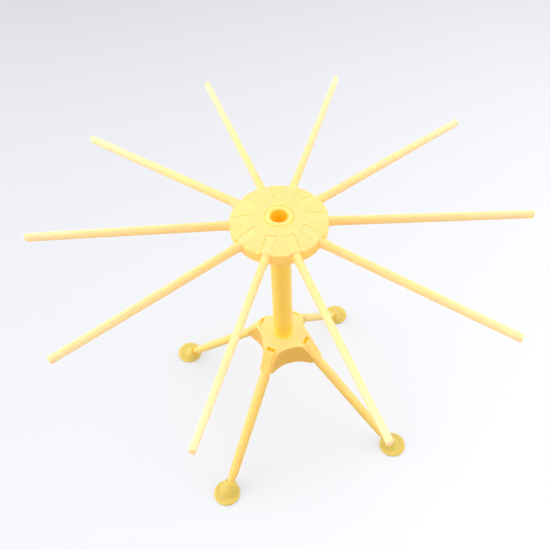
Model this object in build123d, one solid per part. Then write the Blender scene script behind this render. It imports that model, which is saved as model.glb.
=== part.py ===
# Pasta drying rack: ten hinged rods on a turning hub, a round column and four folding legs.
# Millimetres, +Z up, origin on the floor under the column, +X along the first rod.
import math
import os

from build123d import *

# Layout
rod_count = 10
leg_count = 4
screw_count = 5
first_leg_turn = -30.5
rod_level = 274.5
rod_reach = 209.0
foot_reach = 126.0

# Fits and gaps
running_clearance = 0.06
seat_clearance = 0.03
side_clearance = 0.2
swing_clearance = 0.35
rest_gap = 0.2
overrun = 5.0

# Slim tapered rods, each with a flat-sided head that fills its slot flush with the dome
rod_root_diameter = 8.3
rod_tip_diameter = 7.5
rod_tip_round = 1.2
rod_droop = 1.0
head_width = 8.6
head_edge_round = 0.6
head_end_inset = 0.7
head_end_round = 2.2
knuckle_radius = 7.0
knuckle_corner_round = 0.8
rod_pin_diameter = 3.0
rod_pin_share = 2 / 3
rod_pin_rise = 2.5
rod_pin_bite_share = 0.6
floor_drop = 4.5

# Hub disc: a shallow dome with slots open at the top and at the rim
hub_radius = 40.5
rim_rise = 4.5
rim_top_round = 0.8
rim_bottom_round = 0.7
dome_rise = 4.0
flush_drop = 0.15
slot_mouth_round = 1.8
groove_gap = 0.4
groove_depth = 2.4

# Plate that closes the hub from below and is the floor of each slot
plate_thickness = 1.6
rim_wall = 3.5
boss_wall = 2.9
finger_inset = 0.8
screw_inset = 6.0
screw_shank_diameter = 2.2
screw_head_diameter = 4.4
screw_head_depth = 1.3
screw_length = 7.0

# Ring on top of the column, which keeps the hub down
ring_radius = 12.1
ring_thickness = 2.7
ring_top_round = 1.2
ring_hole_radius = 7.2
ring_sleeve_length = 10.0

# Column
column_radius = 9.2
column_bore_radius = 8.0
shoulder_proud = 1.1
shoulder_height = 5.5
shoulder_round = 0.5

# Base: a four-armed star that holds the column and the legs' pins
base_top = 124.5
base_height = 25.8
arm_width = 12.2
arm_top_reach = 25.8
arm_end_rise = 5.6
arm_inset = 0.4
star_waist = 21.5
base_edge_round = 1.2
base_bottom_round = 0.6
arm_side_share = 0.6
socket_floor = 4.3
socket_wall = 2.4
core_outer_wall = 2.5
core_roof = 3.5
rib_thickness = 2.0

# Legs with a flat-sided tongue and heel, and the pins that they fold on
leg_pin_diameter = 3.0
leg_pin_bite_share = 0.6
leg_pin_reach = 29.0
leg_pin_level = 110.0
leg_slot_reach = 22.8
tongue_width = 8.3
tongue_length = 12.2
heel_clearance = 0.3
heel_face_rise = 6.5
heel_drop = 2.0
heel_slit = 2.6
heel_thickness = 2.4
tongue_edge_round = 1.0
leg_width = 10.4
leg_depth = 8.6
leg_shoulder_length = 4.0
shin_width = 9.2
shin_depth = 8.0
ankle_diameter = 7.0
neck_length = 7.0
ankle_length = 11.0
ankle_level = 4.2
ankle_inset = 3.4

# Soft round feet, each with a boss that leans up the leg
pad_radius = 13.3
pad_thickness = 2.7
pad_edge_round = 1.1
pad_boss_radius = 10.3
pad_boss_shift = 1.5
pad_collar_radius = 6.3
pad_collar_run = 8.5
pad_collar_round = 1.2
dish_radius = 10.6
dish_depth = 1.6

# Worked out from the sizes above
slot_width = head_width + 2 * side_clearance
rod_pin_reach = rod_pin_share * hub_radius
screw_reach = hub_radius - screw_inset
knuckle_room = knuckle_radius + swing_clearance
slot_inner = rod_pin_reach - knuckle_room
rod_pin_level = rod_level + rod_pin_rise
rod_pin_radius = rod_pin_diameter / 2
web_half = rod_pin_reach * math.tan(math.pi / rod_count) - slot_width / 2
rod_pin_bite = rod_pin_bite_share * web_half
rod_pin_half = slot_width / 2 + rod_pin_bite
floor_top = rod_level - floor_drop
hub_bottom = floor_top - plate_thickness
rim_top = rod_level + rim_rise
recess_radius = ring_radius + groove_gap
recess_floor = rim_top + dome_rise - groove_depth
dome_base = (hub_radius**2 - recess_radius**2 - dome_rise**2) / (2 * dome_rise)
dome_radius = math.hypot(dome_base, hub_radius)
hub_bore_radius = column_radius + running_clearance
boss_radius = hub_bore_radius + boss_wall
column_top = recess_floor + rest_gap
base_bottom = base_top - base_height
column_foot = base_bottom + socket_floor
leg_pin_radius = leg_pin_diameter / 2
fork_width = tongue_width + 2 * side_clearance
cheek = (arm_width - fork_width) / 2
leg_pin_length = fork_width + 2 * leg_pin_bite_share * cheek
heel_face = leg_slot_reach + heel_clearance
leg_knuckle_radius = leg_pin_reach - heel_face
leg_run = foot_reach - ankle_inset - leg_pin_reach
leg_fall = leg_pin_level - ankle_level
leg_length = math.hypot(leg_run, leg_fall)
leg_slope = math.degrees(math.atan2(leg_fall, leg_run))
arm_rise = leg_depth / 2 - arm_inset
arm_end_fall = leg_pin_level - base_bottom - arm_end_rise
arm_run = (arm_end_fall * leg_length + arm_rise * leg_run) / leg_fall
arm_low_rise = (arm_run * leg_fall - (leg_pin_level - base_bottom) * leg_length) / leg_run


# Height of the hub's domed top at a distance from its axis
def dome_height(reach):
    return rim_top + math.sqrt(dome_radius**2 - reach**2) - dome_base


# Reach and height of a point given along a leg's axis and square to it
def along_leg(run, rise=0.0):
    slope = math.radians(leg_slope)
    reach = leg_pin_reach + run * math.cos(slope) + rise * math.sin(slope)
    return reach, leg_pin_level - run * math.sin(slope) + rise * math.cos(slope)


# Upright cylinder on the column's axis, from one height to another
def disc(radius, low, high):
    return Pos(0, 0, (low + high) / 2) * Cylinder(radius, high - low)


# Solid of revolution about the column's axis from an outline in reach and height
def spun(*lines):
    return revolve(make_face([Plane.XZ * line for line in lines]), Axis.Z)


# Level round bar across the X axis
def cross_bar(radius, length, reach, height):
    return Pos(reach, 0, height) * Rot(90, 0, 0) * Cylinder(radius, length)


# Box that runs outwards along the X axis and is centred on it
def block(reach_low, reach_high, width, low, high):
    box = Box(reach_high - reach_low, width, high - low)
    return Pos((reach_low + reach_high) / 2, 0, (low + high) / 2) * box


# Outline in reach and height given a width across the X axis
def side_slab(face, width):
    return extrude(Plane.XZ * face, width / 2, both=True)


# Copies of a shape at even turns about the column's axis
def around(shape, count, start=0.0):
    return [Rot(0, 0, start + 360.0 * k / count) * shape for k in range(count)]


# Closed round edges of a solid, lowest first
def rims(shape):
    circles = shape.edges().filter_by(GeomType.CIRCLE)
    return circles.filter_by(lambda edge: edge.is_closed).sort_by(Axis.Z)


# Slot, open at the top and with a bell mouth at the rim, and the round pocket of the knuckle
def slot_cutter():
    half = slot_width / 2
    wide = half + slot_mouth_round
    bell = hub_radius - slot_mouth_round
    end = hub_radius + overrun
    mouth = slot_mouth_round * (1 - math.sqrt(0.5))
    side = [
        Line((rod_pin_reach, half), (bell, half)),
        ThreePointArc((bell, half), (hub_radius - mouth, half + mouth), (hub_radius, wide)),
        Line((hub_radius, wide), (end, wide)),
    ]
    ends = [
        Line((rod_pin_reach, half), (rod_pin_reach, -half)),
        Line((end, wide), (end, -wide)),
    ]
    face = make_face(side + [mirror(line, Plane.XZ) for line in side] + ends)
    low = hub_bottom - overrun
    slot = Pos(0, 0, low) * extrude(face, dome_height(0) + overrun - low)
    pocket = cross_bar(knuckle_room, slot_width, rod_pin_reach, rod_pin_level)
    return slot + pocket + block(slot_inner, rod_pin_reach, slot_width, low, rod_pin_level)


# Domed disc with the rods' slots, the pins' grooves and a seat for the plate
def hub_disc():
    middle = hub_radius / 2
    apex = dome_height(0)
    body = spun(
        Line((0, hub_bottom), (hub_radius, hub_bottom)),
        Line((hub_radius, hub_bottom), (hub_radius, rim_top)),
        ThreePointArc((hub_radius, rim_top), (middle, dome_height(middle)), (0, apex)),
        Line((0, apex), (0, hub_bottom)),
    )
    body = fillet(rims(body)[-1], rim_top_round)
    body = fillet(rims(body)[0], rim_bottom_round)
    body -= disc(recess_radius, recess_floor, apex + overrun)
    body -= disc(hub_bore_radius, hub_bottom - overrun, apex)
    seat = disc(hub_radius - rim_wall, hub_bottom - overrun, floor_top)
    body -= seat - disc(boss_radius, hub_bottom - 2 * overrun, floor_top)
    groove_radius = rod_pin_radius + seat_clearance
    groove_length = 2 * (rod_pin_half + seat_clearance)
    groove = cross_bar(groove_radius, groove_length, rod_pin_reach, rod_pin_level)
    groove += block(
        rod_pin_reach - groove_radius,
        rod_pin_reach + groove_radius,
        groove_length,
        hub_bottom,
        rod_pin_level,
    )
    pilot = Pos(screw_reach, 0, 0) * disc(
        screw_shank_diameter / 2 + seat_clearance,
        hub_bottom - overrun,
        hub_bottom + screw_length + rest_gap,
    )
    body -= around(slot_cutter() + groove, rod_count)
    body -= around(pilot, screw_count, 180.0 / rod_count)
    return body


# Flat ring under the disc, with posts under the pins and a finger to the rim in each slot
def hub_plate():
    low, high = hub_bottom - overrun, floor_top + overrun
    plate = disc(hub_radius - rim_wall - seat_clearance, hub_bottom, floor_top)
    plate -= disc(boss_radius + seat_clearance, low, high)
    trough = cross_bar(knuckle_room, slot_width, rod_pin_reach, rod_pin_level)
    finger_width = slot_width - side_clearance
    finger_end = hub_radius - finger_inset
    finger = block(rod_pin_reach, finger_end, finger_width, hub_bottom, floor_top)
    post = block(
        rod_pin_reach - rod_pin_radius,
        rod_pin_reach + rod_pin_radius,
        rod_pin_bite - 2 * seat_clearance,
        hub_bottom,
        rod_pin_level - rod_pin_radius - seat_clearance,
    )
    shift = rod_pin_half - rod_pin_bite / 2
    shank = screw_shank_diameter / 2 + seat_clearance
    sink = screw_head_diameter / 2 + seat_clearance
    hole = disc(shank, low, high)
    hole += Pos(0, 0, hub_bottom + screw_head_depth / 2) * Cone(sink, shank, screw_head_depth)
    plate += around(finger, rod_count)
    plate -= around(trough, rod_count)
    plate += around(Pos(0, shift, 0) * post, rod_count)
    plate += around(Pos(0, -shift, 0) * post, rod_count)
    plate -= around(Pos(screw_reach, 0, 0) * hole, screw_count, 180.0 / rod_count)
    return plate


# Countersunk self-tapping screws that hold the plate to the disc
def hub_screws():
    shank = screw_shank_diameter / 2
    head = screw_head_diameter / 2
    tip = hub_bottom + screw_length
    screw = spun(
        Line((0, hub_bottom), (head, hub_bottom)),
        Line((head, hub_bottom), (shank, hub_bottom + screw_head_depth)),
        Line((shank, hub_bottom + screw_head_depth), (shank, tip - shank)),
        Line((shank, tip - shank), (0, tip)),
        Line((0, tip), (0, hub_bottom)),
    )
    return around(Pos(screw_reach, 0, 0) * screw, screw_count, 180.0 / rod_count)


# One pin across each slot
def rod_pins():
    pin = cross_bar(rod_pin_radius, 2 * rod_pin_half, rod_pin_reach, rod_pin_level)
    return around(pin, rod_count)


# Side outline of a rod's head: round about its pin, flat below and domed like the disc above
def head_outline():
    bottom = floor_top + rest_gap
    end = hub_radius - head_end_inset
    tops = [(reach, dome_height(reach) - flush_drop) for reach in (0, end / 2, end)]
    room = make_face(
        [
            ThreePointArc(*tops),
            Line(tops[2], (end, bottom)),
            Line((end, bottom), (0, bottom)),
            Line((0, bottom), tops[0]),
        ]
    )
    knuckle = Pos(rod_pin_reach, rod_pin_level) * Circle(knuckle_radius)
    outer = Pos(rod_pin_reach + hub_radius / 2, rod_pin_level) * Rectangle(hub_radius, hub_radius)
    outline = room & (knuckle + outer)
    end_corner = outline.vertices().sort_by(Axis.Y)[-2:].sort_by(Axis.X)[-1]
    outline = fillet(end_corner, head_end_round)
    return fillet(outline.vertices().sort_by(Axis.Y)[-1], knuckle_corner_round)


# Round rod, a little lower at its tip, whose head turns on a pin and rests on its slot's floor
def rod():
    head = side_slab(head_outline(), head_width)
    head = fillet(head.faces().filter_by(Axis.Y).edges(), head_edge_round)
    shaft_start = hub_radius - rim_wall
    length = (rod_reach - shaft_start) / math.cos(math.radians(rod_droop))
    shaft = Cone(rod_root_diameter / 2, rod_tip_diameter / 2, length)
    shaft = Pos(0, 0, length / 2) * fillet(rims(shaft)[-1], rod_tip_round)
    shaft = Pos(shaft_start, 0, rod_level) * Rot(0, 90 + rod_droop, 0) * shaft
    bore_radius = rod_pin_radius + running_clearance
    return head + shaft - cross_bar(bore_radius, 2 * head_width, rod_pin_reach, rod_pin_level)


# Flanged ring pressed into the top of the column
def top_ring():
    lip_top = column_top + ring_thickness
    sleeve_radius = column_bore_radius - seat_clearance
    sleeve_end = column_top - ring_sleeve_length
    ring = disc(ring_radius, column_top, lip_top) + disc(sleeve_radius, sleeve_end, lip_top)
    ring -= disc(ring_hole_radius, sleeve_end - overrun, lip_top + overrun)
    return fillet(rims(ring)[-2:], ring_top_round)


# Round tube with a shoulder that the hub turns on
def column():
    shoulder_top = hub_bottom - rest_gap
    shoulder = disc(column_radius + shoulder_proud, shoulder_top - shoulder_height, shoulder_top)
    shoulder = fillet(rims(shoulder), shoulder_round)
    tube = disc(column_radius, column_foot, column_top) + shoulder
    return tube - disc(column_bore_radius, column_foot - overrun, column_top + overrun)


# Outline of the star: four straight arms joined by round hollows
def star():
    half = arm_width / 2
    hollow = (star_waist - half * math.sqrt(2)) / (math.sqrt(2) - 1)
    middle = half + hollow
    body = Rectangle(2 * middle, 2 * middle)
    body -= [Pos(x, y) * Circle(hollow) for x in (middle, -middle) for y in (middle, -middle)]
    arm = Rectangle(2 * foot_reach, arm_width)
    return body + [arm, Rot(0, 0, 90) * arm]


# Star-shaped base with a socket for the column and a fork for each leg
def base_hub():
    body = Pos(0, 0, base_bottom) * extrude(star(), base_height)
    tip = along_leg(arm_run, arm_rise)
    toe = along_leg(arm_run, arm_low_rise)
    crown = (arm_top_reach, base_top)
    body &= spun(
        Line((0, base_bottom), toe),
        Line(toe, tip),
        Line(tip, crown),
        Line(crown, (0, base_top)),
        Line((0, base_top), (0, base_bottom)),
    )
    flanks = body.edges().filter_by(Axis.Z, reverse=True)
    flanks = flanks.filter_by(lambda edge: edge.center().Z > tip[1])
    flanks = flanks.filter_by(lambda edge: abs(edge.tangent_at(0.5).Z) > math.sqrt(0.5))
    body = fillet(flanks, arm_side_share * cheek)
    body = fillet(body.faces().sort_by(Axis.Z)[-1].edges(), base_edge_round)
    body = fillet(body.faces().sort_by(Axis.Z)[0].edges(), base_bottom_round)
    low, high = base_bottom - overrun, base_top + overrun
    core = disc(star_waist - core_outer_wall, low, base_top - core_roof)
    core -= disc(column_radius + socket_wall, low - overrun, base_top)
    body -= core
    rib = block(column_radius, star_waist, rib_thickness, base_bottom, base_top - core_roof)
    body += around(rib, 2 * leg_count)
    body -= disc(column_radius + seat_clearance, column_foot, high)
    fork = block(leg_slot_reach, foot_reach, fork_width, low, high)
    seat_length = leg_pin_length + 2 * seat_clearance
    hole = cross_bar(leg_pin_radius + seat_clearance, seat_length, leg_pin_reach, leg_pin_level)
    body -= around(fork + hole, leg_count)
    return Rot(0, 0, first_leg_turn) * body


# One pin across each fork
def leg_pins():
    pin = cross_bar(leg_pin_radius, leg_pin_length, leg_pin_reach, leg_pin_level)
    return around(pin, leg_count, first_leg_turn)


# Plane square to a leg's axis
def leg_plane(run):
    reach, height = along_leg(run)
    slope = math.radians(leg_slope)
    return Plane(
        origin=(reach, 0, height),
        x_dir=(0, 1, 0),
        z_dir=(math.cos(slope), 0, -math.sin(slope)),
    )


# Tongue that fills the fork, round about its pin, with a heel that stops on the base
def leg_tongue():
    heel_top = base_top - heel_drop
    half = leg_depth / 2
    side = make_face(
        Polyline(
            (heel_face, leg_pin_level),
            (heel_face, leg_pin_level + heel_face_rise),
            (leg_slot_reach + heel_slit, heel_top),
            (leg_slot_reach + heel_slit + heel_thickness, heel_top),
            along_leg(tongue_length, half),
            along_leg(tongue_length, -half),
            along_leg(0, -leg_knuckle_radius),
            (leg_pin_reach, leg_pin_level),
            close=True,
        )
    )
    side += Pos(leg_pin_reach, leg_pin_level) * Circle(leg_knuckle_radius)
    tongue = side_slab(side, tongue_width)
    sides = tongue.faces().filter_by(Axis.Y)
    return fillet(sides.edges(), tongue_edge_round)


# Straight oval bar from the tongue to the neck above the ankle
def leg_bar():
    neck_end = leg_length - ankle_length
    stations = [
        (tongue_length - leg_shoulder_length, tongue_width, leg_depth),
        (tongue_length, tongue_width, leg_depth),
        (tongue_length + leg_shoulder_length, leg_width, leg_depth),
        (neck_end - neck_length, shin_width, shin_depth),
        (neck_end, ankle_diameter, ankle_diameter),
    ]
    sections = [
        leg_plane(run) * Ellipse(width / 2, depth / 2) for run, width, depth in stations
    ]
    return [loft(pair, ruled=True) for pair in zip(sections, sections[1:])]


# Whole leg: tongue, bar and ankle, bored for its pin
def leg():
    bore = cross_bar(
        leg_pin_radius + running_clearance, 2 * tongue_width, leg_pin_reach, leg_pin_level
    )
    return leg_tongue() + leg_bar() + ankle(ankle_diameter / 2) - bore


# Round end of a leg, which stands in its foot
def ankle(radius):
    reach, height = along_leg(leg_length - ankle_length / 2)
    return Pos(reach, 0, height) * Rot(0, 90 + leg_slope, 0) * Cylinder(radius, ankle_length)


# Soft foot: a flange with a dished underside and a boss that leans up round the ankle
def foot_pad():
    flange = disc(pad_radius, 0, pad_thickness)
    flange = fillet(rims(flange)[-1], pad_edge_round)
    root = Pos(foot_reach - pad_boss_shift, 0, dish_depth) * Circle(pad_boss_radius)
    collar = leg_plane(leg_length - pad_collar_run) * Circle(pad_collar_radius)
    boss = loft([root.face(), collar.face()], ruled=True)
    boss = fillet(boss.faces().sort_by(Axis.Z)[-1].edges(), pad_collar_round)
    dish_sphere = (dish_radius**2 + dish_depth**2) / (2 * dish_depth)
    flange -= Pos(0, 0, dish_depth - dish_sphere) * Sphere(dish_sphere)
    pad = Pos(foot_reach, 0, 0) * flange + boss
    return pad - ankle(ankle_diameter / 2 + seat_clearance)


# Every piece by its name, in place
def pieces():
    shapes = {
        "hub_disc": hub_disc(),
        "hub_plate": hub_plate(),
        "hub_screws": Compound(children=hub_screws()),
        "rod_pins": Compound(children=rod_pins()),
        "top_ring": top_ring(),
        "column": column(),
        "base_hub": base_hub(),
        "leg_pins": Compound(children=leg_pins()),
    }
    for number, shape in enumerate(around(rod(), rod_count), start=1):
        shapes[f"rod_{number:02d}"] = shape
    for number, shape in enumerate(around(leg(), leg_count, first_leg_turn), start=1):
        shapes[f"leg_{number}"] = shape
    for number, shape in enumerate(around(foot_pad(), leg_count, first_leg_turn), start=1):
        shapes[f"foot_pad_{number}"] = shape
    return shapes


os.makedirs("parts", exist_ok=True)
for name, shape in pieces().items():
    export_step(shape, f"parts/{name}.step")
print("leg slope", round(leg_slope, 2), "fold", round(90 - leg_slope, 2))
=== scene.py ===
# Pasta drying rack of pale lemon plastic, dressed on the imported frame.
# Blender units are metres; the dictionaries are in millimetres and degrees.
import math

import bmesh
import bpy
from mathutils import Matrix, Vector


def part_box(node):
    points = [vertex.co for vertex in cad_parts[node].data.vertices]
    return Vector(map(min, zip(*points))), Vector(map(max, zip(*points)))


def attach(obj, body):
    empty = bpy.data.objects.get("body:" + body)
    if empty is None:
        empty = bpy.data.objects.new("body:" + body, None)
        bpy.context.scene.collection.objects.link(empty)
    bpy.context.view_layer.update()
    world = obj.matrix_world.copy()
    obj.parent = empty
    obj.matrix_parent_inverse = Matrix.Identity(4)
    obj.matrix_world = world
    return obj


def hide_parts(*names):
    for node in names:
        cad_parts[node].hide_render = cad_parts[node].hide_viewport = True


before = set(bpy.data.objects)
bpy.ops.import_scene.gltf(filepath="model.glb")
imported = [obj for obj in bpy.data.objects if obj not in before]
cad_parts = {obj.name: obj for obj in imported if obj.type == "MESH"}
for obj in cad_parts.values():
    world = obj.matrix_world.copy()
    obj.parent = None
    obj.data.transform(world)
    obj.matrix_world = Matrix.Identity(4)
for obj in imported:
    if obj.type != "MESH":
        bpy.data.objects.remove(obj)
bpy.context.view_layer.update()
mm = 0.001


# sRGB hex to the linear colour that a socket takes
def hexColour(text):
    parts = [int(text[i : i + 2], 16) / 255 for i in (0, 2, 4)]
    return [p / 12.92 if p <= 0.04045 else ((p + 0.055) / 1.055) ** 2.4 for p in parts] + [1.0]


# adds a node; settings go to its sockets or properties, links bring other nodes' outputs in
def addNode(tree, kind, settings, links=()):
    node = tree.nodes.new(kind)
    for name, value in settings.items():
        if isinstance(name, int) or name in node.inputs:
            node.inputs[name].default_value = value
        else:
            setattr(node, name, value)
    for name, source in dict(links).items():
        tree.links.new(source, node.inputs[name])
    return node


# a named material with an empty tree
def newMaterial(name):
    material = bpy.data.materials.new(name)
    material.use_nodes = True
    material.node_tree.nodes.clear()
    return material, material.node_tree


def objectPlace(tree):
    return addNode(tree, "ShaderNodeTexCoord", {}).outputs["Object"]


# noise of a size in millimetres
def addNoise(tree, size, detail, place):
    return addNode(
        tree, "ShaderNodeTexNoise", {"Scale": 1 / (size * mm), "Detail": detail}, {"Vector": place}
    )


# 1 for what the camera sees itself or through something clear, else 0
def seenShare(tree):
    rays = addNode(tree, "ShaderNodeLightPath", {})
    return addNode(
        tree,
        "ShaderNodeMath",
        {"operation": "MAXIMUM"},
        {0: rays.outputs["Is Camera Ray"], 1: rays.outputs["Is Transmission Ray"]},
    )


# the photographer's place
cameraPlan = {
    "place": (-4.19, -416.37, 702.97),
    "down": 49.863,
    "left": 0.178,
    "roll": -2.777,
    "lens": 47.734,
}


def addCamera(plan):
    bpy.ops.object.camera_add(location=[v * mm for v in plan["place"]])
    camera = bpy.context.object
    camera.name = "camera"
    turn = Matrix.Rotation(math.radians(plan["left"]), 3, "Z")
    tilt = Matrix.Rotation(math.radians(90 - plan["down"]), 3, "X")
    roll = Matrix.Rotation(math.radians(plan["roll"]), 3, "Z")
    camera.rotation_euler = (turn @ tilt @ roll).to_euler()
    camera.data.lens = plan["lens"]
    camera.data.sensor_width = 36
    camera.data.clip_start = 0.01
    bpy.context.scene.camera = camera


addCamera(cameraPlan)
print("camera in place")


# soft boxes over a pale sweep
studioPlan = {
    "boxes": {
        "backBox": {
            "place": (100, 600, 1450),
            "aim": (0, 0, 230),
            "size": (1500, 1300),
            "watts": 7.8,
        },
        "lensBox": {
            "place": (-100, -1100, 900),
            "aim": (0, 0, 200),
            "size": (1200, 700),
            "watts": 1.7,
        },
        "leftWindow": {
            "place": (-1300, 0, 700),
            "aim": (0, 0, 150),
            "size": (1700, 1300),
            "watts": 14.5,
        },
        "rightWindow": {
            "place": (1300, 0, 700),
            "aim": (0, 0, 150),
            "size": (1700, 1300),
            "watts": 9.5,
        },
    },
    "fill": 0.94,  # strength of the even light from all round
    "fillHex": "F6F6F8",
    "floorHex": "C6C8CC",
    "glowHex": "F7F7FA",  # what the camera sees of the sweep without a shadow
    "glowShare": 0.3,
    "glowFar": 0.74,  # painted light: the sweep's glow for the camera brightens towards the lens and to the right
    "glowNear": 1.42,
    "farLine": 850,
    "nearLine": -200,
    "glowTilt": 0.2,
    "tiltReach": 400,
    "floorSize": 9000,
    "floorDrop": 0.05,  # under the feet, so that the faces don't fight
}


def addStudio(plan):
    for name, box in plan["boxes"].items():
        place = Vector(box["place"]) * mm
        bpy.ops.object.light_add(type="AREA", location=place)
        lamp = bpy.context.object
        lamp.name = name
        lamp.rotation_euler = (Vector(box["aim"]) * mm - place).to_track_quat("-Z", "Y").to_euler()
        lamp.data.shape = "RECTANGLE"
        lamp.data.size, lamp.data.size_y = [v * mm for v in box["size"]]
        lamp.data.energy = box["watts"]
    world = bpy.data.worlds.new("studioLight")
    bpy.context.scene.world = world
    world.use_nodes = True
    tree = world.node_tree
    tree.nodes.clear()
    fill = addNode(
        tree, "ShaderNodeBackground", {"Color": hexColour(plan["fillHex"]), "Strength": plan["fill"]}
    )
    glow = addNode(tree, "ShaderNodeBackground", {"Color": hexColour(plan["glowHex"]), "Strength": 1.0})
    seen = seenShare(tree)
    both = addNode(
        tree, "ShaderNodeMixShader", {}, {0: seen.outputs[0], 1: fill.outputs[0], 2: glow.outputs[0]}
    )
    addNode(tree, "ShaderNodeOutputWorld", {}, {"Surface": both.outputs[0]})


# pale paper sweep: matt, and partly lit of itself for the camera so that it stays white, with painted
# light that brightens it towards the lens and to the right
def sweepPaper(plan):
    paper, tree = newMaterial("sweepPaper")
    matt = addNode(tree, "ShaderNodeBsdfDiffuse", {"Color": hexColour(plan["floorHex"])})
    split = addNode(tree, "ShaderNodeSeparateXYZ", {}, {0: objectPlace(tree)})
    # painted light: the glow grows towards the lens and to the right
    near = addNode(
        tree,
        "ShaderNodeMapRange",
        {
            "From Min": plan["farLine"] * mm,
            "From Max": plan["nearLine"] * mm,
            "To Min": plan["glowFar"],
            "To Max": plan["glowNear"],
        },
        {"Value": split.outputs["Y"]},
    )
    side = addNode(
        tree,
        "ShaderNodeMapRange",
        {
            "From Min": -plan["tiltReach"] * mm,
            "From Max": plan["tiltReach"] * mm,
            "To Min": 1 - plan["glowTilt"],
            "To Max": 1 + plan["glowTilt"],
        },
        {"Value": split.outputs["X"]},
    )
    level = addNode(
        tree, "ShaderNodeMath", {"operation": "MULTIPLY"}, {0: near.outputs[0], 1: side.outputs[0]}
    )
    glow = addNode(
        tree, "ShaderNodeEmission", {"Color": hexColour(plan["glowHex"])}, {"Strength": level.outputs[0]}
    )
    seen = seenShare(tree)
    share = addNode(
        tree, "ShaderNodeMath", {"operation": "MULTIPLY", 1: plan["glowShare"]}, {0: seen.outputs[0]}
    )
    both = addNode(
        tree, "ShaderNodeMixShader", {}, {0: share.outputs[0], 1: matt.outputs[0], 2: glow.outputs[0]}
    )
    addNode(tree, "ShaderNodeOutputMaterial", {}, {"Surface": both.outputs[0]})
    return paper


def deselectAll():
    bpy.ops.object.select_all(action="DESELECT")


def makeActive(piece):
    deselectAll()
    piece.select_set(True)
    bpy.context.view_layer.objects.active = piece


def addFloor(plan):
    deselectAll()
    bpy.ops.mesh.primitive_plane_add(
        size=plan["floorSize"] * mm, location=(0, 0, -plan["floorDrop"] * mm)
    )
    floor = bpy.context.object
    floor.name = "floor"
    floor.data.materials.append(sweepPaper(plan))


addStudio(studioPlan)
addFloor(studioPlan)
scene = bpy.context.scene
scene.view_settings.view_transform = "Standard"
print("studio lit")


# Moulded polypropylene: milky, with a soft gloss, and light that sinks in comes out warmer.
# Painted light: tops take a paler lit colour, sides a deeper painted-shade colour, and bores and seams a
# painted amber glow instead of grey shade.
plasticPlan = {
    "hubPolypropylene": {
        "litTopHex": "FDC97A",
        "shadedSideHex": "F8CA5C",
        "paintedGlowHex": "F0B85C",
        "roughness": 0.38,
        "glow": 0.04,
        "paintedGlowMost": 0.3,
    },
    "rodPolypropylene": {
        "litTopHex": "FDCB7E",
        "farHex": "FCDEA8",
        "shadedSideHex": "F6C878",
        "facing": (-0.5, 0.45),
        "paintedGlowHex": "F0BC64",
        "roughness": 0.34,
        "glow": 0.04,
        "paintedGlowMost": 0.3,
    },
    # painted shade: the column's colours are deeper, for the shade it stands in under the hub
    "columnPolypropylene": {
        "litTopHex": "FBCC6C",
        "shadedSideHex": "E9C43C",
        "paintedGlowHex": "FFB000",
        "roughness": 0.28,
        "glow": 0.02,
        "paintedGlowMost": 0.58,
    },
    "basePolypropylene": {
        "litTopHex": "FBD084",
        "shadedSideHex": "DCAB24",
        "paintedGlowHex": "FFB828",
        "roughness": 0.38,
        "glow": 0.01,
        "paintedGlowMost": 0.5,
    },
    # painted shade: the legs' colours are a little deeper, for the shade under the hub
    "legPolypropylene": {
        "litTopHex": "F6D07A",
        "shadedSideHex": "E0BC4E",
        "paintedGlowHex": "FFB828",
        "roughness": 0.34,
        "glow": 0.0,
        "paintedGlowMost": 0.4,
    },
}
plasticCommon = {
    "ior": 1.49,
    "skinShare": 0.12,  # the smoother skin that forms against the mould
    "skinRoughness": 0.34,
    "glowDepth": 1.2,  # how far red light travels inside
    "glowShares": (1.0, 0.55, 0.16),
    "facing": (0.1, 0.9),  # how far up a face looks, from the painted-shade side colour to the painted lit top colour
    "shutSpan": (0.9, 0.1),  # openness of a place, from the faint painted glow to the strongest painted glow
    "shutRays": 6,
    "paintedGlowReach": 14.0,  # how far the AO node looks for closed places that get the painted glow, standing in for light through the walls
    "paleFrom": 40.0,  # the rods pale from the hub's rim to their tips
    "paleTo": 200.0,
    "cloudSize": 22.0,
    "cloudShare": 0.16,
    "rippleSize": 14.0,
    "rippleHeight": 0.004,
    "grainSize": 0.7,  # spark-eroded mould grain, drawn about twice as coarse so that it shows
    "grainHeight": 0.006,
    "scuffSize": 5.0,
    "scuffLength": 9.0,
    "scuffTurn": (0.3, 0.5, 0.8),
    "scuffSpan": (0.35, 0.75),
    "polishSpread": (-0.04, 0.10),  # beside the plastic's own roughness
}


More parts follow.
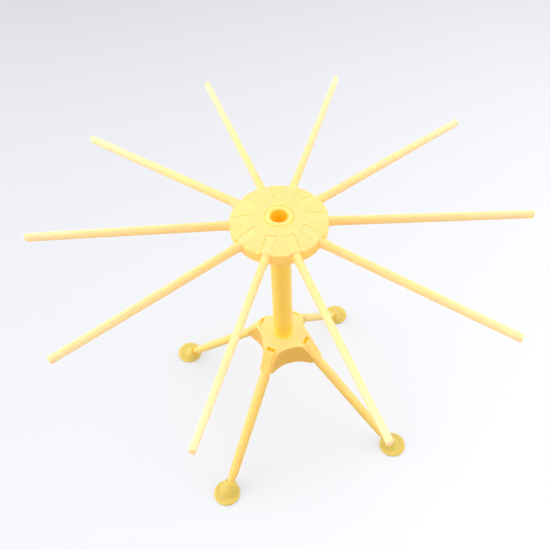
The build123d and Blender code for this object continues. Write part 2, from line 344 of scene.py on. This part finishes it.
def mouldedPlastic(name, plan, common):
    plastic, tree = newMaterial(name)
    place = objectPlace(tree)
    cloud = addNoise(tree, common["cloudSize"], 3.0, place)
    flat = addNode(tree, "ShaderNodeMapping", {"Scale": (1.0, 1.0, 0.0)}, {"Vector": place})
    reach = addNode(tree, "ShaderNodeVectorMath", {"operation": "LENGTH"}, {0: flat.outputs[0]})
    pale = addNode(
        tree,
        "ShaderNodeMapRange",
        {"From Min": common["paleFrom"] * mm, "From Max": common["paleTo"] * mm},
        {"Value": reach.outputs["Value"]},
    )
    farHex = plan.get("farHex", plan["litTopHex"])
    top = addNode(
        tree,
        "ShaderNodeMix",
        {"data_type": "RGBA", 6: hexColour(plan["litTopHex"]), 7: hexColour(farHex)},
        {0: pale.outputs[0]},
    )
    # painted light: upward faces take the lit top colour and side faces the painted-shade side colour
    facing = addNode(tree, "ShaderNodeNewGeometry", {})
    split = addNode(tree, "ShaderNodeSeparateXYZ", {}, {0: facing.outputs["Normal"]})
    low, high = plan.get("facing", common["facing"])
    upward = addNode(
        tree, "ShaderNodeMapRange", {"From Min": low, "From Max": high}, {"Value": split.outputs["Z"]}
    )
    level = addNode(
        tree,
        "ShaderNodeMath",
        {"operation": "MULTIPLY_ADD", 1: common["cloudShare"]},
        {0: cloud.outputs["Fac"], 2: upward.outputs[0]},
    )
    tint = addNode(
        tree,
        "ShaderNodeMix",
        {"data_type": "RGBA", 6: hexColour(plan["shadedSideHex"])},
        {0: level.outputs[0], 7: top.outputs[2]},
    )
    ripple = addNoise(tree, common["rippleSize"], 1.0, place)
    grain = addNoise(tree, common["grainSize"], 2.0, place)
    waves = addNode(
        tree,
        "ShaderNodeBump",
        {"Distance": common["rippleHeight"] * mm, "Strength": 1.0},
        {"Height": ripple.outputs["Fac"]},
    )
    skin = addNode(
        tree,
        "ShaderNodeBump",
        {"Distance": common["grainHeight"] * mm, "Strength": 1.0},
        {"Height": grain.outputs["Fac"], "Normal": waves.outputs["Normal"]},
    )
    drawn = addNode(
        tree,
        "ShaderNodeMapping",
        {
            "Scale": (1.0, common["scuffLength"], common["scuffLength"]),
            "Rotation": common["scuffTurn"],
        },
        {"Vector": place},
    )
    scuff = addNoise(tree, common["scuffSize"], 4.0, drawn.outputs[0])
    polish = addNode(
        tree,
        "ShaderNodeMapRange",
        {
            "From Min": common["scuffSpan"][0],
            "From Max": common["scuffSpan"][1],
            "To Min": plan["roughness"] + common["polishSpread"][0],
            "To Max": plan["roughness"] + common["polishSpread"][1],
        },
        {"Value": scuff.outputs["Fac"]},
    )
    # painted light: an amber emission, faint everywhere and strongest in bores, seams and corners that
    # the AO node finds closed in, stands in for light through the translucent walls
    shut = addNode(
        tree,
        "ShaderNodeAmbientOcclusion",
        {"samples": common["shutRays"], "Distance": common["paintedGlowReach"] * mm},
    )
    through = addNode(
        tree,
        "ShaderNodeMapRange",
        {
            "From Min": common["shutSpan"][0],
            "From Max": common["shutSpan"][1],
            "To Min": plan["glow"],
            "To Max": plan["paintedGlowMost"],
        },
        {"Value": shut.outputs["AO"]},
    )
    shader = addNode(
        tree,
        "ShaderNodeBsdfPrincipled",
        {
            "IOR": common["ior"],
            "Emission Color": hexColour(plan["paintedGlowHex"]),
            "Coat Weight": common["skinShare"],
            "Coat Roughness": common["skinRoughness"],
            "Subsurface Weight": 1.0,
            "Subsurface Radius": common["glowShares"],
            "Subsurface Scale": common["glowDepth"] * mm,
        },
        {
            "Base Color": tint.outputs[2],
            "Roughness": polish.outputs[0],
            "Normal": skin.outputs["Normal"],
            "Emission Strength": through.outputs[0],
        },
    )
    addNode(tree, "ShaderNodeOutputMaterial", {}, {"Surface": shader.outputs[0]})
    return plastic


plastics = {name: mouldedPlastic(name, plan, plasticCommon) for name, plan in plasticPlan.items()}


# turned steel of the hidden pins and screws: bright, with lathe rings
steelPlan = {"hex": "C9CCD0", "roughness": (0.2, 0.4), "ringPitch": 0.35}


def turnedSteel(plan):
    steel, tree = newMaterial("turnedSteel")
    rings = addNoise(tree, plan["ringPitch"], 2.0, objectPlace(tree))
    polish = addNode(
        tree,
        "ShaderNodeMapRange",
        {"To Min": plan["roughness"][0], "To Max": plan["roughness"][1]},
        {"Value": rings.outputs["Fac"]},
    )
    shader = addNode(
        tree,
        "ShaderNodeBsdfPrincipled",
        {"Base Color": hexColour(plan["hex"]), "Metallic": 1.0},
        {"Roughness": polish.outputs[0]},
    )
    addNode(tree, "ShaderNodeOutputMaterial", {}, {"Surface": shader.outputs[0]})
    return steel


steel = turnedSteel(steelPlan)


# gives a CAD node its finish
def finishNode(node, material):
    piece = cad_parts[node]
    piece.data.materials.clear()
    piece.data.materials.append(material)


# the CAD nodes that are numbered alike
def numberedNodes(start):
    return [n for n in sorted(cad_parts) if n.startswith(start) and n[len(start) :].isdigit()]


def finishCadNodes():
    kinds = {
        "hub_disc": "hubPolypropylene",
        "hub_plate": "hubPolypropylene",
        "top_ring": "columnPolypropylene",
        "column": "columnPolypropylene",
        "base_hub": "basePolypropylene",
    }
    for node, name in kinds.items():
        finishNode(node, plastics[name])
    for node in numberedNodes("rod_"):
        finishNode(node, plastics["rodPolypropylene"])
    for node in numberedNodes("leg_"):
        finishNode(node, plastics["legPolypropylene"])
    for node in ("hub_screws", "rod_pins", "leg_pins"):
        finishNode(node, steel)


finishCadNodes()
print("plastics and steel on")


# The real rods are taller than they are wide, and leave their heads flush with the hub's top.
# Each rod is a copy of the first CAD rod's mesh and finish, with the shaft drawn in at the
# sides and out at the top and bottom.
rodPlan = {
    "start": 37.0,  # where the shaft's axis leaves the head, and how it droops from there
    "level": 274.5,
    "droop": 1.0,
    "reach": 209.0,
    "riseOver": (37.2, 38.6),  # the shaft reaches its height along this stretch
    "slimOver": (38.0, 51.0),
    "height": (1.1, 1.14),  # beside the CAD's, at the root and at the tip
    "width": (0.77, 0.7),
    "rings": (37.8, 38.4, 39, 40, 41, 42, 43, 44, 45.5, 47, 49, 51, 90, 130, 170),
    "mergeGap": 0.001,
    "crease": 30,
}


def easedShare(value, span):
    share = min(max((value - span[0]) / (span[1] - span[0]), 0), 1)
    return share * share * (3 - 2 * share)


def shapeRod(rod, plan):
    makeActive(rod)
    bpy.ops.object.mode_set(mode="EDIT")
    bpy.ops.mesh.select_all(action="SELECT")
    bpy.ops.mesh.remove_doubles(threshold=plan["mergeGap"] * mm)
    for ring in plan["rings"]:
        bpy.ops.mesh.select_all(action="SELECT")
        bpy.ops.mesh.bisect(plane_co=(ring * mm, 0, 0), plane_no=(1, 0, 0))
    mesh = bmesh.from_edit_mesh(rod.data)
    for corner in mesh.verts:
        along = corner.co.x / mm
        run = along - plan["start"]
        axis = (plan["level"] - run * math.tan(math.radians(plan["droop"]))) * mm
        onward = min(max(run / (plan["reach"] - plan["start"]), 0), 1)
        height = plan["height"][0] + (plan["height"][1] - plan["height"][0]) * onward
        width = plan["width"][0] + (plan["width"][1] - plan["width"][0]) * onward
        stretch = 1 + (height - 1) * easedShare(along, plan["riseOver"])
        corner.co.z = axis + (corner.co.z - axis) * stretch
        corner.co.y *= 1 + (width - 1) * easedShare(along, plan["slimOver"])
    bmesh.update_edit_mesh(rod.data)
    bpy.ops.object.mode_set(mode="OBJECT")
    bpy.ops.mesh.customdata_custom_splitnormals_clear()
    bpy.ops.object.shade_smooth_by_angle(angle=math.radians(plan["crease"]))


# a node's turn about the column, and its middle
def nodeTurn(node):
    low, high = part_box(node)
    middle = (low + high) / 2
    return math.atan2(middle.y, middle.x), middle


# a copy of a finished piece with its own mesh, moved to its place in the mesh
def copyPiece(first, name, move):
    piece = first.copy()
    piece.data = first.data.copy()
    piece.name = name
    bpy.context.collection.objects.link(piece)
    piece.data.transform(move)
    return piece


def addRods(plan):
    first = bpy.data.objects.new("rod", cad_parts["rod_01"].data.copy())
    bpy.context.collection.objects.link(first)
    turn, _ = nodeTurn("rod_01")
    first.data.transform(Matrix.Rotation(-turn, 4, "Z"))
    shapeRod(first, plan)
    for node in numberedNodes("rod_"):
        turn, _ = nodeTurn(node)
        rod = copyPiece(first, f"oval_{node}", Matrix.Rotation(turn, 4, "Z"))
        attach(rod, node)
        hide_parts(node)
    bpy.data.objects.remove(first)


addRods(rodPlan)
print("rods on")


# soft moulded feet, each a flange with a boss that grips the leg
footPlan = {
    "count": 4,
    "flangeRadius": 13.2,
    "flangeHeight": 2.7,
    "flangeRound": 1.1,
    "bossRadius": 10.2,
    "bossShift": -1.5,
    "collarRadius": 5.9,
    "collarRun": 8.4,
    "collarRound": 1.4,
    "dishRadius": 10.6,
    "dishDepth": 1.6,
    "ankleRadius": 3.5,
    "ankleSlope": 48.5,
    "ankleEnd": (-3.4, 4.2),  # where the leg's axis ends, from the flange's middle
    "socketGap": 0.04,
    "socketLength": 20.0,
    "voxel": 0.45,
    "softening": 8,
    "crease": 40,
    "hex": "D8C262",
    "deepHex": "CCB24C",
    "roughness": 0.42,
    "cloudSize": 6.0,
    "grainSize": 0.6,
    "grainHeight": 0.015,
    "ior": 1.5,
    "glowShares": (1.0, 0.7, 0.25),
    "glowDepth": 3.0,
}


# rounds the edges that pass the test, in edit mode
def roundEdges(piece, test, offset, segments):
    makeActive(piece)
    bpy.ops.object.mode_set(mode="EDIT")
    bpy.ops.mesh.select_mode(type="EDGE")
    bpy.ops.mesh.select_all(action="DESELECT")
    mesh = bmesh.from_edit_mesh(piece.data)
    for edge in mesh.edges:
        edge.select_set(all(test(corner.co) for corner in edge.verts))
    bmesh.update_edit_mesh(piece.data)
    bpy.ops.mesh.bevel(offset=offset * mm, segments=segments, affect="EDGES")
    bpy.ops.object.mode_set(mode="OBJECT")


def applyModifier(piece, kind, settings):
    makeActive(piece)
    modifier = piece.modifiers.new(kind.lower(), kind)
    for name, value in settings.items():
        setattr(modifier, name, value)
    bpy.ops.object.modifier_apply(modifier=modifier.name)


# joins or cuts with a second piece, which is used up
def combine(piece, tool, operation):
    applyModifier(piece, "BOOLEAN", {"object": tool, "operation": operation, "solver": "EXACT"})
    bpy.data.objects.remove(tool)


def addRound(name, radius, height, shift=0.0):
    deselectAll()
    bpy.ops.mesh.primitive_cylinder_add(
        vertices=96, radius=radius * mm, depth=height * mm, location=(shift * mm, 0, height / 2 * mm)
    )
    piece = bpy.context.object
    piece.name = name
    bpy.ops.object.transform_apply(location=True, rotation=True, scale=True)
    return piece


# moves the boss's top face up the leg, turns it square to the leg and rounds its edge
def leanTop(boss, place, way, plan):
    makeActive(boss)
    bpy.ops.object.mode_set(mode="EDIT")
    mesh = bmesh.from_edit_mesh(boss.data)
    top = plan["flangeHeight"] * mm - 1e-6
    lean = Vector((0, 0, 1)).rotation_difference(way).to_matrix()
    for corner in mesh.verts:
        if corner.co.z > top:
            flat = Vector((corner.co.x - plan["bossShift"] * mm, corner.co.y, 0))
            corner.co = place + lean @ flat * plan["collarRadius"] / plan["bossRadius"]
    bmesh.update_edit_mesh(boss.data)
    bpy.ops.object.mode_set(mode="OBJECT")
    roundEdges(boss, lambda co: co.z > top, plan["collarRound"], 6)


def buildFoot(plan):
    flange = addRound("foot", plan["flangeRadius"], plan["flangeHeight"])
    top = plan["flangeHeight"] * mm - 1e-6
    roundEdges(flange, lambda co: co.z > top, plan["flangeRound"], 6)
    slope = math.radians(plan["ankleSlope"])
    way = Vector((-math.cos(slope), 0, math.sin(slope)))
    start = Vector((plan["ankleEnd"][0], 0, plan["ankleEnd"][1])) * mm
    boss = addRound("boss", plan["bossRadius"], plan["flangeHeight"], plan["bossShift"])
    leanTop(boss, start + way * plan["collarRun"] * mm, way, plan)
    combine(flange, boss, "UNION")
    sphere = (plan["dishRadius"] ** 2 + plan["dishDepth"] ** 2) / (2 * plan["dishDepth"])
    bpy.ops.mesh.primitive_uv_sphere_add(
        segments=128,
        ring_count=256,
        radius=sphere * mm,
        location=(0, 0, (plan["dishDepth"] - sphere) * mm),
    )
    combine(flange, bpy.context.object, "DIFFERENCE")
    applyModifier(flange, "REMESH", {"mode": "VOXEL", "voxel_size": plan["voxel"] * mm})
    applyModifier(flange, "SMOOTH", {"factor": 0.5, "iterations": plan["softening"]})
    deselectAll()
    bpy.ops.mesh.primitive_cylinder_add(
        vertices=96,
        radius=(plan["ankleRadius"] + plan["socketGap"]) * mm,
        depth=plan["socketLength"] * mm,
        location=start + way * plan["socketLength"] / 2 * mm,
        rotation=way.to_track_quat("Z", "Y").to_euler(),
    )
    combine(flange, bpy.context.object, "DIFFERENCE")
    makeActive(flange)
    bpy.ops.object.shade_smooth_by_angle(angle=math.radians(plan["crease"]))
    return flange


# soft rubber: deeper and greener than the plastic, cloudy, with a fine grain
def softRubber(plan):
    rubber, tree = newMaterial("softRubber")
    place = objectPlace(tree)
    cloud = addNoise(tree, plan["cloudSize"], 4.0, place)
    tint = addNode(
        tree,
        "ShaderNodeMix",
        {"data_type": "RGBA", 6: hexColour(plan["hex"]), 7: hexColour(plan["deepHex"])},
        {0: cloud.outputs["Fac"]},
    )
    grain = addNoise(tree, plan["grainSize"], 2.0, place)
    skin = addNode(
        tree,
        "ShaderNodeBump",
        {"Distance": plan["grainHeight"] * mm, "Strength": 1.0},
        {"Height": grain.outputs["Fac"]},
    )
    shader = addNode(
        tree,
        "ShaderNodeBsdfPrincipled",
        {
            "IOR": plan["ior"],
            "Roughness": plan["roughness"],
            "Subsurface Weight": 1.0,
            "Subsurface Radius": plan["glowShares"],
            "Subsurface Scale": plan["glowDepth"] * mm,
        },
        {"Base Color": tint.outputs[2], "Normal": skin.outputs["Normal"]},
    )
    addNode(tree, "ShaderNodeOutputMaterial", {}, {"Surface": shader.outputs[0]})
    return rubber


def addFeet(plan):
    first = buildFoot(plan)
    first.data.materials.clear()
    first.data.materials.append(softRubber(plan))
    for number in range(1, plan["count"] + 1):
        node = f"foot_pad_{number}"
        turn, middle = nodeTurn(node)
        move = Matrix.Translation((middle.x, middle.y, 0)) @ Matrix.Rotation(turn, 4, "Z")
        foot = copyPiece(first, f"soft_foot_{number}", move)
        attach(foot, f"leg_{number}")
        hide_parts(node)
    bpy.data.objects.remove(first)


addFeet(footPlan)
print("feet on")
